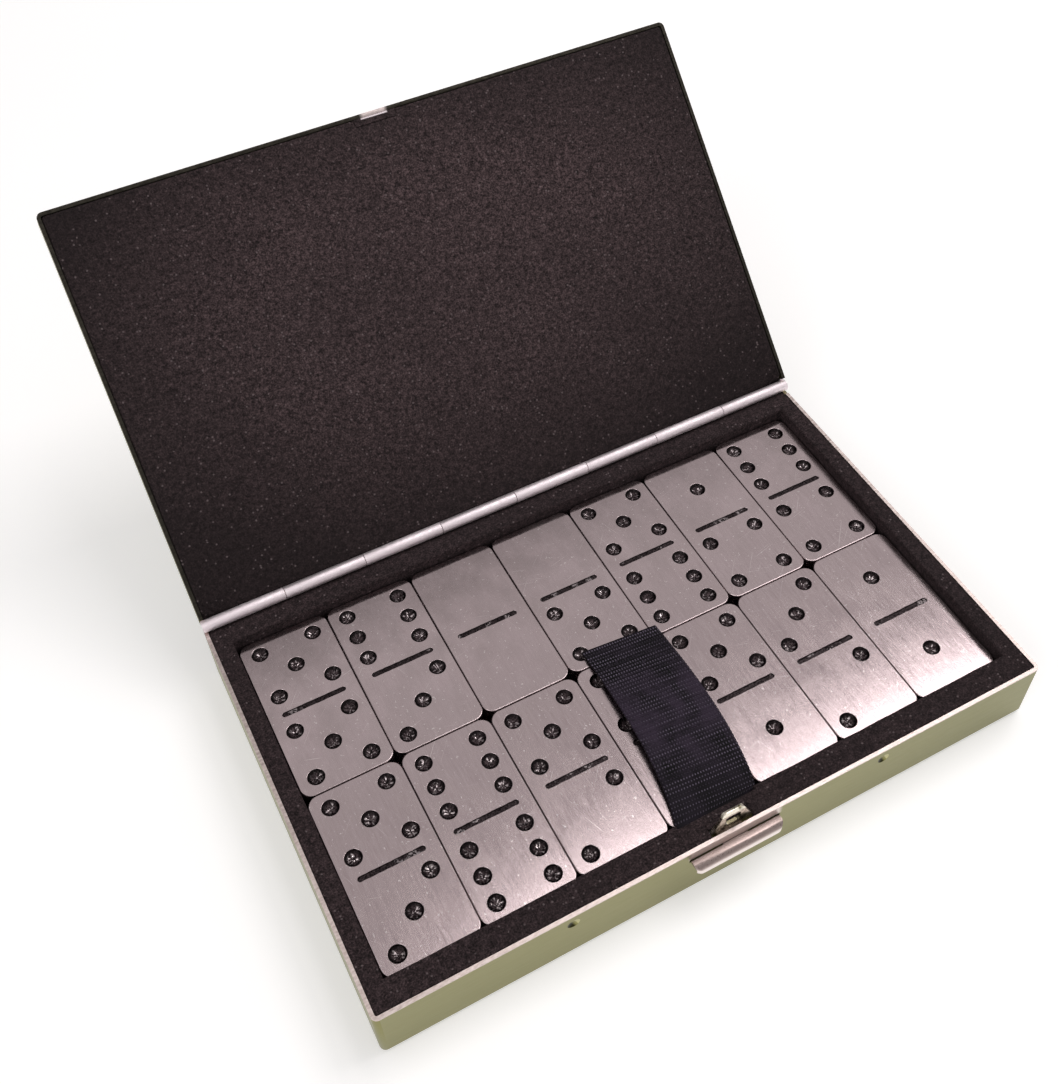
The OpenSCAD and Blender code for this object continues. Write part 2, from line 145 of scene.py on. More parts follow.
class Surface(Nodes):
    """A material of one Principled shader, with the textures that the materials share."""

    def __init__(self, name):
        self.material = bpy.data.materials.new(name)
        self.material.use_nodes = True
        super().__init__(self.material.node_tree)
        self.nodes.clear()
        self.shader = self.nodes.new("ShaderNodeBsdfPrincipled")
        out = self.nodes.new("ShaderNodeOutputMaterial")
        self.link(self.shader.outputs[0], out.inputs["Surface"])
        coords = self.nodes.new("ShaderNodeTexCoord")
        self.object = coords.outputs["Object"]
        self.uv = coords.outputs["UV"]

    def scaled(self, vector, scale, angle=0.0):
        """The vector turned by the angle and then scaled."""
        node = self.nodes.new("ShaderNodeMapping")
        node.vector_type = "TEXTURE"
        node.inputs["Scale"].default_value = [1 / k for k in scale]
        node.inputs["Rotation"].default_value = (0, 0, angle)
        self.link(vector, node.inputs["Vector"])
        return node.outputs[0]

    def noise(self, vector, scale=None, detail=2.0, rough=0.5, angle=0.0):
        """Noise with scale waves to the metre: one number, or one for each axis."""
        node = self.nodes.new("ShaderNodeTexNoise")
        node.inputs["Scale"].default_value = 1.0
        node.inputs["Detail"].default_value = detail
        node.inputs["Roughness"].default_value = rough
        if scale:
            scale = scale if isinstance(scale, tuple) else (scale,) * 3
            vector = self.scaled(vector, scale, angle)
        self.link(vector, node.inputs["Vector"])
        return node.outputs[0]

    def cells(self, vector, scale):
        """Cells with scale to the metre: the distance from each one's middle, and its random colour."""
        node = self.nodes.new("ShaderNodeTexVoronoi")
        node.inputs["Scale"].default_value = 1.0
        self.link(self.scaled(vector, (scale,) * 3), node.inputs["Vector"])
        return node.outputs[0], node.outputs[1]

    def mix(self, fac, a, b):
        """Goes from colour a to colour b; a colour is a socket or three numbers."""
        node = self.nodes.new("ShaderNodeMix")
        node.data_type = "RGBA"
        self.feed(node.inputs[0], fac)
        for socket, value in ((node.inputs[6], a), (node.inputs[7], b)):
            self.feed(socket, (*value, 1.0) if isinstance(value, tuple) else value)
        return node.outputs[2]

    def bump(self, height, distance, strength=1.0):
        node = self.nodes.new("ShaderNodeBump")
        node.inputs["Distance"].default_value = distance
        node.inputs["Strength"].default_value = strength
        self.feed(node.inputs["Height"], height)
        return node.outputs[0]

    def finish(self, color, roughness, normal=None, **constants):
        """Feeds the shader; the constants are set on its own sockets, with _ for a space."""
        self.feed(self.shader.inputs["Base Color"], color)
        self.feed(self.shader.inputs["Roughness"], roughness)
        self.feed(self.shader.inputs["Normal"], normal)
        for name, value in constants.items():
            self.shader.inputs[name.replace("_", " ")].default_value = value
        return self.material


# ---------------------------------------------------------------- materials

def tile_steel():
    """Satin steel, faintly brushed along the tile's length, with smears, specks and stray scratches."""
    dull, bright = (0.53, 0.43, 0.44), (0.645, 0.54, 0.55)
    smeared, aged = (0.515, 0.43, 0.43), (0.46, 0.375, 0.38)
    scratched, specked = (0.88, 0.80, 0.79), (0.92, 0.85, 0.84)
    t = Surface("tile_steel")
    fine = t.noise(t.object, (7000, 320, 7000), detail=3)
    broad = t.noise(t.object, (1300, 110, 1300))
    smear = t.noise(t.object, (130, 90, 130), detail=5, rough=0.62)
    patch = t.noise(t.object, 45)
    grain = t.plus(t.times(fine, 0.6), t.times(broad, 0.4))
    scratches = None
    for angle, reach in ((0.35, 60), (-0.7, 45), (1.25, 80), (2.3, 110), (1.8, 50)):
        lines = t.noise(t.object, (3300, reach, 3300), detail=1, angle=angle)
        mark = t.span(lines, 0.73, 0.77)
        scratches = mark if scratches is None else t.most(scratches, mark)
    scratches = t.times(scratches, t.span(patch, 0.4, 0.6, 0.15, 1.0))
    specks = t.span(t.noise(t.object, (1500, 1200, 1500)), 0.675, 0.73)
    batch = t.nodes.new("ShaderNodeObjectInfo").outputs["Random"]
    color = t.mix(t.span(grain, 0.3, 0.7), dull, bright)
    color = t.mix(t.span(smear, 0.42, 0.68, 0, 0.5), color, smeared)
    color = t.mix(t.span(batch, 0, 1, 0, 0.16), color, aged)
    color = t.mix(t.times(scratches, 0.55), color, scratched)
    color = t.mix(t.times(specks, 0.6), color, specked)
    rough = t.plus(t.span(grain, 0.3, 0.7, 0.13, 0.19), t.span(smear, 0.35, 0.7, -0.01, 0.07))
    normal = t.bump(t.plus(grain, t.times(smear, 0.9)), 0.03 * MM, 0.62)
    tangent = t.nodes.new("ShaderNodeTangent")
    tangent.direction_type = "UV_MAP"
    tangent.uv_map = "UVMap"
    t.link(tangent.outputs[0], t.shader.inputs["Tangent"])
    return t.finish(color, rough, normal, Metallic=1.0, Anisotropic=0.5)


def pip_paint():
    """Black gloss paint, thin in the middle of a pip, where bright tool marks show through it."""
    paint, dust, steel = (0.0014, 0.0009, 0.001), (0.072, 0.052, 0.056), (0.78, 0.69, 0.70)
    t = Surface("pip_paint")
    u, v, _ = t.axes(t.uv)
    reach = t.hypot(u, v)
    spread = t.plus(reach, 0.05)
    ray = t.nodes.new("ShaderNodeCombineXYZ")
    t.link(t.math("DIVIDE", u, spread), ray.inputs[0])
    t.link(t.math("DIVIDE", v, spread), ray.inputs[1])
    around = t.vector("ADD", t.scaled(ray.outputs[0], (1.9,) * 3), t.scaled(t.object, (330,) * 3))[0]
    streak = t.noise(around, detail=1.5)
    fleck = t.noise(t.object, 2100)
    middle = t.span(reach, 0.78, 0.5)
    worn = t.times(t.span(streak, 0.555, 0.615), t.span(fleck, 0.42, 0.54))
    worn = t.times(worn, middle)
    dusty = t.mix(t.times(middle, t.span(fleck, 0.35, 0.65)), paint, dust)
    color = t.mix(worn, dusty, steel)
    t.link(worn, t.shader.inputs["Metallic"])
    rough = t.span(fleck, 0.3, 0.7, 0.14, 0.34)
    normal = t.bump(t.plus(streak, t.times(fleck, 0.4)), 0.4 * MM, 0.8)
    return t.finish(color, rough, normal, Specular_IOR_Level=0.2, Specular_Tint=(1, 0.8, 0.83, 1))


# The cut rim's dark and light tones: the base's faces the lamps and is its bare cut metal; the open lid's
# turns from them and is painted shade
RIM_TONES = {
    "base_metal": ((0.60, 0.50, 0.465), (0.80, 0.70, 0.67)),
    "lid_metal": ((0.036, 0.033, 0.027), (0.062, 0.057, 0.045)),
}


def case_metal(name, rim_part, barrel_part):
    """Satin aluminium with an olive coat, a cut rim, and a hinge barrel rolled bare and bright."""
    olive, pale_olive = (0.240, 0.228, 0.089), (0.258, 0.245, 0.098)
    silver, pale_silver = (0.93, 0.85, 0.88), (0.98, 0.90, 0.93)
    t = Surface(name)
    x, y, z = t.axes(t.object)
    grain = t.noise(t.object, (200, 5200, 5200), detail=3)
    cloud = t.noise(t.object, 22)
    nicks = t.noise(t.object, (700, 1500, 1500), detail=3)
    rim, barrel = rim_part(t, y, z), barrel_part(t, y, z)
    coat = t.mix(t.span(cloud, 0.3, 0.7), olive, pale_olive)
    # for the lid these rim tones are painted shade
    cut = t.mix(t.span(nicks, 0.35, 0.7), *RIM_TONES[name])
    bare = t.mix(t.span(cloud, 0.3, 0.7), silver, pale_silver)
    if name == "base_metal":
        coat = front_marks(t, x, y, z, nicks, coat)
    else:
        # painted highlight on the lid's rim at the catch
        cut = catch_highlight(t, x, cut)
    color = t.mix(barrel, t.mix(rim, coat, cut), bare)
    rough = t.plus(t.span(grain, 0.3, 0.7, 0.30, 0.38), t.times(barrel, 0.18))
    rough = t.plus(rough, t.times(t.span(nicks, 0.3, 0.7, 0.0, 0.18), rim))
    height = t.plus(grain, t.times(t.times(nicks, rim), 6.0))
    return t.finish(color, rough, t.bump(height, 0.02 * MM, 0.4), Metallic=1.0)


def catch_highlight(t, x, cut):
    """The lid's rim where the catch is set into it, painted bright: a painted highlight over the painted
    shade.
    """
    return t.mix(t.span(t.math("ABSOLUTE", x), 4.2 * MM, 3.0 * MM), cut, (0.78, 0.68, 0.66))


def front_marks(t, x, y, z, nicks, coat):
    """The front face's marks, all painted light: painted shade towards the right end, painted shade and a
    painted glint in each stake dimple, and a painted highlight in bare metal's tone on the wall above the
    ledge.
    """
    shaded, bare = (0.212, 0.203, 0.078), (0.70, 0.60, 0.565)
    dimple_shade, glint = (0.020, 0.019, 0.004), (0.47, 0.45, 0.24)
    side = t.math("ABSOLUTE", x)
    front = t.math("LESS_THAN", y, -56.8 * MM)
    # painted shade: the coat darkens towards the front face's right end
    coat = t.mix(t.times(t.span(x, 10 * MM, 90 * MM), front), coat, shaded)
    across, up = t.minus(side, STAKE[0] * MM), t.minus(z, STAKE[1] * MM)
    dimple = t.times(t.math("LESS_THAN", t.hypot(across, up), 1.65 * MM), front)
    leaning = t.plus(t.times(across, t.math("SIGN", x)), t.times(up, 0.5))
    # painted shade on each dimple's left and lower side
    coat = t.mix(t.times(dimple, t.span(leaning, 0.1 * MM, -0.6 * MM)), coat, dimple_shade)
    # painted glint on each dimple's right side
    coat = t.mix(t.times(dimple, t.span(leaning, 0.4 * MM, 0.7 * MM)), coat, glint)
    # painted highlight in bare metal's tone on the wall between the ledge and the rim
    rubbed_and_highlit = t.times(t.span(side, 13.4 * MM, 12.2 * MM), t.span(z, 16.9 * MM, 17.3 * MM))
    rubbed_and_highlit = t.times(t.times(rubbed_and_highlit, front), t.span(nicks, 0.25, 0.5, 0.72, 1.0))
    return t.mix(rubbed_and_highlit, coat, bare)


def base_rim(t, y, z):
    """The base's cut edge: the last 0.4 mm of its walls."""
    return t.span(z, (BASE_RIM - 0.45) * MM, (BASE_RIM - 0.25) * MM)


def base_barrel(t, y, z):
    """The base's knuckles: all that stands above its rim."""
    return t.span(z, (BASE_RIM + 0.15) * MM, (BASE_RIM + 0.3) * MM)


def lid_rim(t, y, z):
    """The open lid's cut edge, found by its depth below the rim's plane."""
    depth = t.minus(t.minus(y, z), (AXIS[0] - AXIS[1] - 2.12) * MM)
    return t.span(depth, 0.6 * MM, 0.3 * MM)


def lid_barrel(t, y, z):
    """The lid's knuckles: whatever lies close round the hinge's axis."""
    reach = t.hypot(t.minus(y, AXIS[0] * MM), t.minus(z, AXIS[1] * MM))
    return t.span(reach, 2.4 * MM, 2.1 * MM)


def nickel():
    """Nickel plate over stamped steel, satin and a little uneven, with painted shade on the ledge's top and a
    painted highlight along its lip; the hook's is olive, with painted glints.
    """
    grey, pale, rubbed_and_highlit = (0.47, 0.385, 0.36), (0.60, 0.505, 0.48), (0.70, 0.60, 0.58)
    brown, pale_brown, lip_highlight = (0.29, 0.225, 0.205), (0.41, 0.33, 0.31), (0.90, 0.81, 0.78)
    dark_olive, hook_glint = (0.17, 0.15, 0.095), (0.86, 0.80, 0.68)
    t = Surface("nickel")
    _, y, z = t.axes(t.object)
    wave = t.noise(t.object, (420, 260, 260), detail=3)
    fine = t.noise(t.object, (2600, 3200, 3200), detail=3)
    hook = t.times(t.span(y, -56.8 * MM, -56.4 * MM), t.math("LESS_THAN", y, 0))
    ledge = t.math("LESS_THAN", y, -57.5 * MM)
    lip = t.times(ledge, t.span(z, 16.1 * MM, 15.6 * MM))
    color = t.mix(t.span(wave, 0.35, 0.7), grey, pale)
    color = t.mix(t.span(fine, 0.45, 0.7, 0, 0.4), color, rubbed_and_highlit)
    # painted shade: the ledge's top darkened to brown
    color = t.mix(t.times(ledge, 0.85), color, t.mix(fine, brown, pale_brown))
    # painted highlight along the ledge's lip
    color = t.mix(lip, color, lip_highlight)
    # the hook: olive, with painted glints in its pale patches
    color = t.mix(hook, color, t.mix(t.span(wave, 0.44, 0.58), dark_olive, hook_glint))
    rough = t.minus(t.span(fine, 0.3, 0.7, 0.26, 0.42), t.times(hook, 0.1))
    rough = t.plus(rough, t.times(lip, 0.15))
    normal = t.bump(t.plus(t.times(wave, 0.9), t.times(fine, 0.25)), 0.1 * MM, 0.5)
    return t.finish(color, rough, normal, Metallic=1.0)


def spring_steel():
    """Plain hardened strip with faint blue-brown temper marks."""
    brown, blue = (0.33, 0.31, 0.30), (0.40, 0.40, 0.43)
    t = Surface("spring_steel")
    grain = t.noise(t.object, (150, 4000, 4000))
    temper = t.noise(t.object, 60)
    color = t.mix(t.span(temper, 0.35, 0.65), brown, blue)
    return t.finish(color, t.span(grain, 0.3, 0.7, 0.28, 0.4), t.bump(grain, 0.02 * MM), Metallic=1.0)


def foam(name, light, middle=None):
    """Black-brown foam, its cut cells in salt and pepper; with a middle, painted shade darkens it away from
    there.
    """
    pit, dusk = (0.0055, 0.0034, 0.0037), (0.017, 0.0115, 0.0125)
    edge, sparkle = (0.0085, 0.0055, 0.006), (0.22, 0.175, 0.18)
    t = Surface(name)
    grain = t.noise(t.object, 2100, detail=3, rough=0.75)
    mottle = t.noise(t.object, 850, detail=3, rough=0.65)
    cloud = t.noise(t.object, 16)
    shade = t.plus(t.times(grain, 0.62), t.times(mottle, 0.38))
    pepper = t.math("POWER", t.span(shade, 0.36, 0.66), 1.7)
    color = t.mix(pepper, pit, light)
    color = t.mix(t.span(cloud, 0.35, 0.7, 0, 0.35), color, dusk)
    if middle:
        offset = t.vector("SUBTRACT", t.object, middle)[0]
        away = t.vector("LENGTH", t.scaled(offset, (11.0, 17.0, 17.0)))[1]
        # painted shade: darker away from the middle, round a painted pool of light
        color = t.mix(t.span(away, 0.5, 1.25, 0, 0.8), color, edge)
    depth, tint = t.cells(t.object, 1500)
    chosen = t.math("GREATER_THAN", t.axes(tint)[0], 0.965)
    glint = t.times(chosen, t.span(depth, 0.55, 0.2))
    color = t.mix(t.times(glint, 0.55), color, sparkle)
    rough = t.span(shade, 0.3, 0.7, 0.98, 0.75)
    return t.finish(color, rough, t.bump(shade, 0.6 * MM, 0.9), Specular_IOR_Level=0.22)


def grosgrain():
    """Navy-black ribbon: painted highlights on its threads show as rows of dots along its ribs, fuzzier where
    it is worn.
    """
    gap, thread_highlight = (0.0004, 0.0002, 0.0006), (0.165, 0.140, 0.190)
    dulled, fluff = (0.037, 0.025, 0.043), (0.085, 0.066, 0.10)
    thread_pitch = 0.75 * MM
    t = Surface("grosgrain")
    u, v, _ = t.axes(t.uv)
    waver = t.noise(t.uv, (260, 1400, 1))
    thread = t.plus(t.times(u, 2 * math.pi / thread_pitch), t.times(waver, 2.5))
    thread = t.math("SINE", thread)
    rib = t.math("COSINE", t.times(v, 2 * math.pi / (RIB_PITCH * MM)))
    dots = t.times(t.span(thread, -0.3, 0.75), t.span(rib, -0.45, 0.8))
    dots = t.math("POWER", dots, t.span(v, 6 * MM, 18 * MM, 2.4, 1.0))
    row = t.noise(t.uv, (30, 620, 1), detail=1)
    shine = t.times(dots, t.span(row, 0.38, 0.6, 0.2, 1.0))
    lint = t.noise(t.object, 1900, detail=3)
    patches = t.noise(t.uv, (150, 90, 1), detail=3)
    rubbed_and_highlit = t.times(t.span(v, 10 * MM, 22 * MM), t.span(v, 46 * MM, 36 * MM))
    worn = t.times(t.span(patches, 0.35, 0.6), t.span(rubbed_and_highlit, 0, 1, 0.25, 0.8))
    fuzz = t.times(t.span(lint, 0.55, 0.75, 0, 0.45), t.span(v, 6 * MM, 18 * MM, 0.15, 1.0))
    # painted highlights on the threads, in rows of dots along the ribs
    color = t.mix(shine, gap, thread_highlight)
    color = t.mix(worn, color, dulled)
    color = t.mix(fuzz, color, fluff)
    rough = t.span(lint, 0.3, 0.7, 0.5, 0.7)
    return t.finish(color, rough, t.bump(dots, 0.18 * MM), Specular_IOR_Level=0.12, Sheen_Weight=0.03)


# ---------------------------------------------------------------- mesh tools

def rounded(w, l, r, steps=6, at=(0.0, 0.0)):
    """A rounded rectangle's outline, anticlockwise from its right edge, in millimetres."""
    points = []
    for k, (sx, sy) in enumerate(((1, 1), (-1, 1), (-1, -1), (1, -1))):
        for i in range(steps + 1):
            a = math.radians(90 * (k + i / steps))
            cx, cy = sx * (w / 2 - r), sy * (l / 2 - r)
            points.append((at[0] + cx + r * math.cos(a), at[1] + cy + r * math.sin(a)))
    return points


def circle(r, at, count):
    turn = 2 * math.pi / count
    return [(at[0] + r * math.cos(i * turn), at[1] + r * math.sin(i * turn)) for i in range(count)]


def inset(points, d):
    """The closed outline moved to its left by d: inwards where it runs anticlockwise."""
    out = []
    for i, p in enumerate(points):
        before, after = Vector(points[i - 1]), Vector(points[(i + 1) % len(points)])
        a, b = (Vector(p) - before).normalized(), (after - Vector(p)).normalized()
        na, nb = Vector((-a.y, a.x)), Vector((-b.y, b.x))
        out.append(tuple(Vector(p) + (na + nb) * (d / max(1 + na.dot(nb), 0.4))))
    return out


def densify(points, step):
    """The same outline with its long straight runs cut up."""
    out = []
    for i, p in enumerate(points):
        q = points[(i + 1) % len(points)]
        parts = max(1, round(math.dist(p, q) / step))
        out += [(p[0] + (q[0] - p[0]) * k / parts, p[1] + (q[1] - p[1]) * k / parts) for k in range(parts)]
    return out


def notched(outline, notch):
    """The outline with the notch's points, from left to right, let into its front edge."""
    start = outline.index(min(outline, key=lambda p: (p[1], p[0]))) + 1
    return outline[:start] + notch + outline[start:]


def rim(outline, edge, side=1, steps=3):
    """The outlines and drops of a rounded top edge, from the flat top down to the wall."""
    for k in range(steps + 1):
        a = math.radians(90 * k / steps)
        yield inset(outline, side * edge * (1 - math.sin(a))), edge * (1 - math.cos(a))


def ring(bm, outline, z):
    """The outline's points as vertices at height z, from millimetres to metres."""
    return [bm.verts.new((x * MM, y * MM, z * MM)) for x, y in outline]


def skin(bm, a, b, slot=0, smooth=True):
    """Joins two rings of as many points."""
    for i in range(len(a)):
        j = (i + 1) % len(a)
        face = bm.faces.new((a[i], a[j], b[j], b[i]))
        face.material_index = slot
        face.smooth = smooth


def loft(bm, rings):
    """Joins each ring to the next."""
    for a, b in zip(rings, rings[1:]):
        skin(bm, a, b)


def cover(bm, rings, slot=0):
    """Fills the flat area between the first ring and the rings inside it."""
    edges = []
    for points in rings:
        for pair in zip([points[-1]] + points, points):
            edges.append(bm.edges.get(pair) or bm.edges.new(pair))
    made = bmesh.ops.triangle_fill(bm, use_beauty=True, edges=edges, normal=(0, 0, 1))
    for face in made["geom"]:
        if isinstance(face, bmesh.types.BMFace):
            face.material_index = slot
            face.smooth = False


def close(bm, rings):
    """Joins the rings into one closed form."""
    loft(bm, rings)
    cover(bm, [rings[0]])
    cover(bm, [rings[-1]])


def piece(name, bm, *materials):
    """A new object from the finished bmesh, with its faces turned outwards."""
    bmesh.ops.recalc_face_normals(bm, faces=bm.faces)
    mesh = bpy.data.meshes.new(name)
    bm.to_mesh(mesh)
    bm.free()
    for material in materials:
        mesh.materials.append(material)
    obj = bpy.data.objects.new(name, mesh)
    bpy.context.scene.collection.objects.link(obj)
    return obj


def open_lid(bm):
    """Swings what was drawn on the shut lid to where the lid rests open."""
    pivot = Vector((0, AXIS[0] * MM, AXIS[1] * MM))
    turn = Matrix.Translation(pivot) @ Matrix.Rotation(-OPEN_ANGLE, 4, "X") @ Matrix.Translation(-pivot)
    bmesh.ops.transform(bm, matrix=turn, verts=bm.verts)


# ---------------------------------------------------------------- tiles

# Sizes in millimetres; widen and lengthen are what a tile gains on its CAD node
TILE = {"edge": 0.22, "corner": 3.0, "widen": 0.1, "lengthen": 0.05, "uv_scale": 10}
PIP = {"radius": 2.2, "flare": 0.12, "wall": 0.3, "bowl": 0.8184, "uneven": 0.25, "sides": 32}
SPOT = {"x": 7.45, "y": 7.3, "half": 13.0}      # a pip from the middle of its half, and that from the tile's
GROOVE = {"length": 17.5, "width": 1.45, "depth": 0.5, "lip": 0.08, "batter": 0.2}
GROOVE_EDGE = {"flare": 0.06, "uneven": 0.05}
# Where in a pip's paint, as parts of its radius, the groove's wall and floor take theirs
WALL_PAINT, FLOOR_PAINT = (0.0, 0.85), (0.0, 0.68)


def pip_spots(value, half):
    """The places of one half's pips from the tile's centre; half is 1 nearer the hinge."""
    spots = [(0, 0)] if value % 2 else []
    spots += [(1, 1), (-1, -1)] if value > 1 else []
    spots += [(-1, 1), (1, -1)] if value > 3 else []
    spots += [(-1, 0), (1, 0)] if value > 5 else []
    return [(i * SPOT["x"], half * SPOT["half"] + j * SPOT["y"]) for i, j in spots]


def sink_pip(bm, uv, spot, top, dice):
    """A drilled hole with a worn mouth and a fluted, painted bowl; returns its mouth."""
    count, radius, wall, bowl = PIP["sides"], PIP["radius"], PIP["wall"], PIP["bowl"]
    rings = [ring(bm, circle(radius + PIP["flare"], spot, count), top)]
    flutes, phase = dice.choice((4, 5, 6)), dice.uniform(0, 6.28)
    # Each ring's part of the radius, its drop and the depth of its flutes
    levels = [(1.01, 0.08, 0.0), (0.985, wall, 0.0)]
    levels += [(f, wall + bowl * (1 - f * f), 0.4 * f * (1 - f)) for f in (0.84, 0.66, 0.46, 0.24)]
    for k, (f, drop, flute) in enumerate(levels):
        line = []
        for i in range(count):
            a = 2 * math.pi * i / count
            x, y = spot[0] + radius * f * math.cos(a), spot[1] + radius * f * math.sin(a)
            sag = flute * math.sin(flutes * a + phase + 0.5 * f)
            sag += flute * dice.uniform(-PIP["uneven"], PIP["uneven"])
            line.append(bm.verts.new((x * MM, y * MM, (top - drop - sag) * MM)))
        rings.append(line)
        skin(bm, rings[-2], rings[-1], slot=0 if k == 0 else 1)
    tip = bm.verts.new((spot[0] * MM, spot[1] * MM, (top - wall - bowl) * MM))
    last = rings[-1]
    for i in range(count):
        face = bm.faces.new((last[i - 1], last[i], tip))
        face.material_index = 1
        face.smooth = True
    for v in [v for line in rings for v in line] + [tip]:
        uv[v] = ((v.co.x / MM - spot[0]) / radius, (v.co.y / MM - spot[1]) / radius)
    return rings[0]


def sink_groove(bm, uv, centre, top, dice):
    """The painted groove between a tile's halves, its sides a little uneven; returns its mouth."""
    length, width, uneven = GROOVE["length"], GROOVE["width"], GROOVE_EDGE["uneven"]
    outline = densify(rounded(length, width, width / 2 - 0.01, 5, centre), 0.8)
    outline = [(x, y + dice.uniform(-uneven, uneven)) for x, y in outline]
    mouth = ring(bm, inset(outline, -GROOVE_EDGE["flare"]), top)
    wall = ring(bm, outline, top - GROOVE["lip"])
    floor = ring(bm, inset(outline, GROOVE["batter"]), top - GROOVE["depth"])
    skin(bm, mouth, wall)
    skin(bm, wall, floor, slot=1)
    cover(bm, [floor], slot=1)
    uv.update((v, WALL_PAINT) for v in mouth + wall)
    uv.update((v, FLOOR_PAINT) for v in floor)
    return mouth


def build_tile(name, materials):
    """One domino in place of its CAD node, with the two values that its name gives, hinge side first."""
    low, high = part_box(name)
    w, l = (high.x - low.x) / MM, (high.y - low.y) / MM
    centre = ((low.x + high.x) / 2 / MM, (low.y + high.y) / 2 / MM)
    bottom, top = low.z / MM, high.z / MM
    dice = random.Random(name)
    bm = bmesh.new()
    outline = rounded(w + TILE["widen"], l + TILE["lengthen"], TILE["corner"], 8, centre)
    edges = list(rim(outline, TILE["edge"]))
    rings = [ring(bm, line, top - drop) for line, drop in edges]
    rings += [ring(bm, line, bottom + drop) for line, drop in reversed(edges)]
    loft(bm, rings)
    values = [int(part) for part in name.split("_")[1:]]
    paint_uv = {}
    mouths = [sink_groove(bm, paint_uv, centre, top, dice)]
    for value, half in zip(values, (1, -1)):
        for x, y in pip_spots(value, half):
            mouths.append(sink_pip(bm, paint_uv, (centre[0] + x, centre[1] + y), top, dice))
    cover(bm, [rings[0]] + mouths)
    cover(bm, [rings[-1]])
    layer, scale = bm.loops.layers.uv.new("UVMap"), TILE["uv_scale"]
    for face in bm.faces:
        for loop in face.loops:
            co = loop.vert.co
            loop[layer].uv = paint_uv[loop.vert] if face.material_index else (co.x * scale, co.y * scale)
    obj = piece(name + "_steel", bm, *materials)
    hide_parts(name)
    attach(obj, body_of(name))


def body_of(node):
    """The body that a CAD node belongs to."""
    for body, members in frame["record"]["behaviour"]["bodies"].items():
        if node in members:
            return body


# ---------------------------------------------------------------- foam

# Sizes and heights in millimetres; those of the lid are as it lies shut
CUT = {"gap": 0.1, "corner": 1.1, "step": 2.5, "stray": 0.14}
BASE_FOAM = {"bottom": 4.0, "edge": 0.5}
SPRING_ROOM = {"half": 50.0, "floor": 13.9, "roof": 19.6}
LID_PAD = {"back": 29.0, "edge": 0.7, "bevel": 0.6, "slit_floor": 27.6, "slit_edge": 0.2, "slack": 0.02}
LATCH_LIP = {"bottom": 19.35, "ahead": 0.15, "edge": 0.12, "slack": 0.01}
CATCH_LIP = {"half": 4.1, "ahead": 0.05, "behind": 0.7, "height": 2.6, "edge": 0.1, "slack": 0.02}
PAD_CHANNEL = {"back": -2.2, "depth": 0.55, "edge": 0.25}
BARREL_ROOM = {"radius": 2.35, "clear": 1.68}


def ragged(outline, amount):
    """A knife-cut outline: each point strays along a slow noise, and a little along a fine one."""
    slow, fast, share = (0.11, 3), (0.9, 10), 0.35      # each noise's waves to the millimetre, and its layer
    out = []
    for x, y in outline:
        stray, fine = (noise.noise_vector(Vector((x * k, y * k, layer))) for k, layer in (slow, fast))
        out.append((x + amount * (stray.x + share * fine.x), y + amount * (stray.y + share * fine.y)))
    return out


def carve_for_barrel(bm, side):
    """Presses a round groove for the hinge barrel into the foam below it (side -1) or above it (side 1)."""
    radius = BARREL_ROOM["radius"]
    for v in bm.verts:
        dy, dz = v.co.y / MM - AXIS[0], v.co.z / MM - AXIS[1]
        if abs(dy) < radius and math.hypot(dy, dz) < radius:
            v.co.z = (AXIS[1] + side * math.sqrt(radius ** 2 - dy ** 2)) * MM


def clear_of_barrel(rings):
    """Draws the first of a rounded edge's outlines back from the barrel, so that the groove is round."""
    first, drop = rings[0]
    reach = AXIS[0] - BARREL_ROOM["clear"]
    return [([(x, min(y, reach)) for x, y in first], drop)] + rings[1:]


def spring_room(outer, back):
    """The outlines of the hollow that the leaf spring and the pressed ledge move in."""
    half, floor, roof = SPRING_ROOM["half"], SPRING_ROOM["floor"], SPRING_ROOM["roof"]
    hollow = [(x, back) if abs(x) < half and y < back else (x, y) for x, y in outer]
    return [(outer, roof), (hollow, roof), (hollow, floor), (outer, floor)]


def place_foam(obj, body, *nodes):
    if nodes:
        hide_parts(*nodes)
    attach(obj, body)


def foam_surround(material):
    """The four strips round the tiles as one cut ring, with the latch's and the ribbon's notches."""
    bottom, top, edge = BASE_FOAM["bottom"], BASE_RIM, BASE_FOAM["edge"]
    w, l = INNER[0] - CUT["gap"], INNER[1] - CUT["gap"]
    px, py = POCKET
    outer = notched(rounded(w, l, CUT["corner"], 3), [(-px, -l / 2), (-px, py), (px, py), (px, -l / 2)])
    a, b, sy = RIBBON_SLOT
    rx, ry = RECESS[0] / 2, RECESS[1] / 2
    inner = [(rx, ry), (-rx, ry), (-rx, -ry), (a, -ry), (a, sy), (b, sy), (b, -ry), (rx, -ry)]
    outer, inner = densify(outer, CUT["step"]), ragged(densify(inner, CUT["step"]), CUT["stray"])
    bm = bmesh.new()
    outs = [ring(bm, line, top - drop) for line, drop in clear_of_barrel(list(rim(outer, edge)))]
    outs += [ring(bm, line, z) for line, z in spring_room(outer, py)]
    outs.append(ring(bm, outer, bottom))
    ins = [ring(bm, line, top - drop) for line, drop in rim(inner, edge, side=-1)] + [ring(bm, inner, bottom)]
    loft(bm, outs)
    loft(bm, ins)
    cover(bm, [outs[0], ins[0]])
    cover(bm, [outs[-1], ins[-1]])
    carve_for_barrel(bm, -1)
    bmesh.ops.remove_doubles(bm, verts=bm.verts, dist=0.001 * MM)
    obj = piece("foam_surround", bm, material)
    place_foam(obj, "base", "foam_front", "foam_back", "foam_left", "foam_right")


